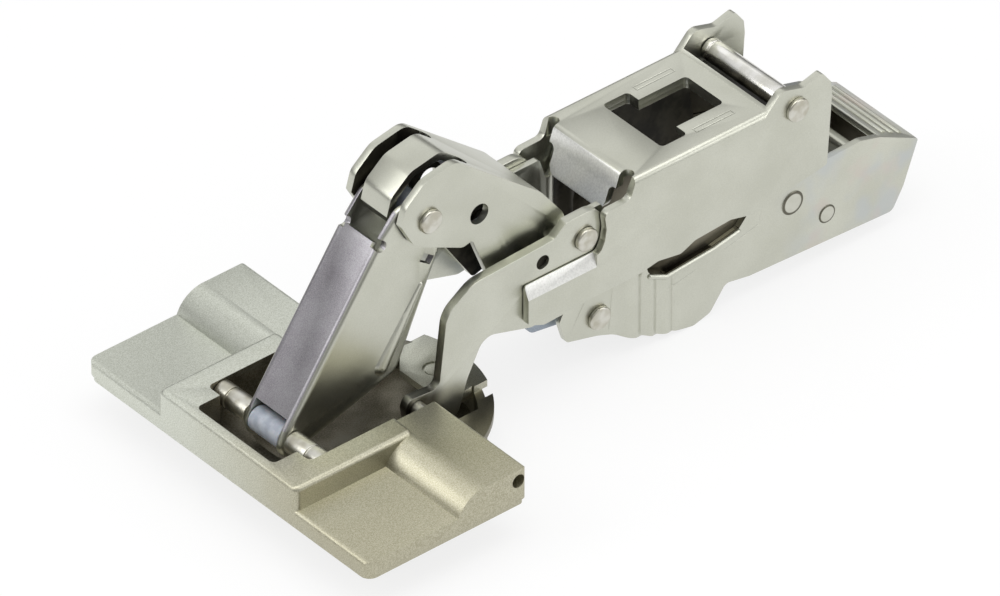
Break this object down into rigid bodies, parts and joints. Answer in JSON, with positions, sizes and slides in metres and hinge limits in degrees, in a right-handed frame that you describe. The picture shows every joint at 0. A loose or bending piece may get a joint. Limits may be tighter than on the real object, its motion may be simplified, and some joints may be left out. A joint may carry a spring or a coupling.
{
  "type": "concealed cup hinge",
  "caption": "Concealed wide-angle cup hinge: door plate with a shallow round body, folding levers and a riveted cabinet arm with a release catch.",
  "frame": {"origin": "on the door's face, at the axis of the round body under the plate", "axes": "+X from the door plate towards the cabinet arm, +Y along the pins, +Z away from the door"},
  "size_m": [0.1164, 0.06, 0.0456],
  "materials": {
    "plate_casting": "fine matte nickel over a casting",
    "nickel_sheet": "satin nickel plate",
    "lever_sheet": "satin nickel plate, darker web",
    "pin_steel": "turned, nickel plate",
    "spring_steel": "oiled wire",
    "milky_plastic": "milky",
    "blue_grey_link": "satin"
  },
  "bodies": {
    "door_side": {"door_plate": "plate_casting", "front_cup_pin": "pin_steel", "front_pin_collars": "pin_steel", "rear_cup_pins": "pin_steel"},
    "l_levers": {"near_l_lever": "nickel_sheet", "far_l_lever": "nickel_sheet", "crossing_pins": "pin_steel"},
    "box_lever_group": {"box_lever": "lever_sheet", "front_pin_bush": "milky_plastic", "top_pin_bush": "milky_plastic"},
    "mid_lever_group": {"mid_lever": "nickel_sheet", "mid_lever_liner": "milky_plastic", "top_pin": "pin_steel"},
    "cabinet_arm": {"outer_arm": "nickel_sheet", "inner_channel": "nickel_sheet", "channel_rivets": "pin_steel", "roller_pin": "pin_steel", "release_pin": "pin_steel", "lower_arm_pin": "pin_steel", "arm_front_rivets": "pin_steel", "closing_spring": "spring_steel", "release_spring": "spring_steel"},
    "link_group": {"inner_link": "blue_grey_link", "inner_link_pin": "pin_steel"},
    "roller": {"roller_sleeve": "pin_steel"},
    "catch": {"release_catch": "nickel_sheet"}
  },
  "joints": [
    {"name": "l_lever_hinge", "type": "hinge", "parent": "door_side", "child": "l_levers", "pos_m": [0.003, 0, 0.0043], "axis": [0, -1, 0], "range_deg": [-25.3, 30.7]},
    {"name": "arm_hinge", "type": "hinge", "parent": "l_levers", "child": "cabinet_arm", "pos_m": [0.0329, 0, 0.0186], "axis": [0, -1, 0], "range_deg": [-44.8, 54.4]},
    {"name": "box_lever_hinge", "type": "hinge", "parent": "door_side", "child": "box_lever_group", "pos_m": [-0.0153, 0, 0.0049], "axis": [0, -1, 0], "range_deg": [-17.46, 21.18]},
    {"name": "mid_lever_hinge", "type": "hinge", "parent": "box_lever_group", "child": "mid_lever_group", "pos_m": [0.00755, 0, 0.0323], "axis": [0, -1, 0], "range_deg": [-12, 9.9]},
    {"name": "link_hinge", "type": "hinge", "parent": "cabinet_arm", "child": "link_group", "pos_m": [0.0366, 0, 0.0025], "axis": [0, -1, 0], "range_deg": [-8.5, 10.3]},
    {"name": "roller_spin", "type": "hinge", "parent": "cabinet_arm", "child": "roller", "pos_m": [0.0697, 0, 0.0237], "axis": [0, -1, 0], "continuous": true},
    {"name": "catch_hinge", "type": "hinge", "parent": "cabinet_arm", "child": "catch", "pos_m": [0.0765, 0, 0.0018], "axis": [0, -1, 0], "range_deg": [0, 12], "stiffness_Nm_per_rad": 0.05}
  ],
  "couplings": [
    {"joint": "l_lever_hinge", "follows": "arm_hinge", "ratio": 0.5625},
    {"joint": "box_lever_hinge", "follows": "arm_hinge", "ratio": 0.3875},
    {"joint": "mid_lever_hinge", "follows": "arm_hinge", "ratio": -0.21875},
    {"joint": "link_hinge", "follows": "arm_hinge", "ratio": 0.1875}
  ]
}
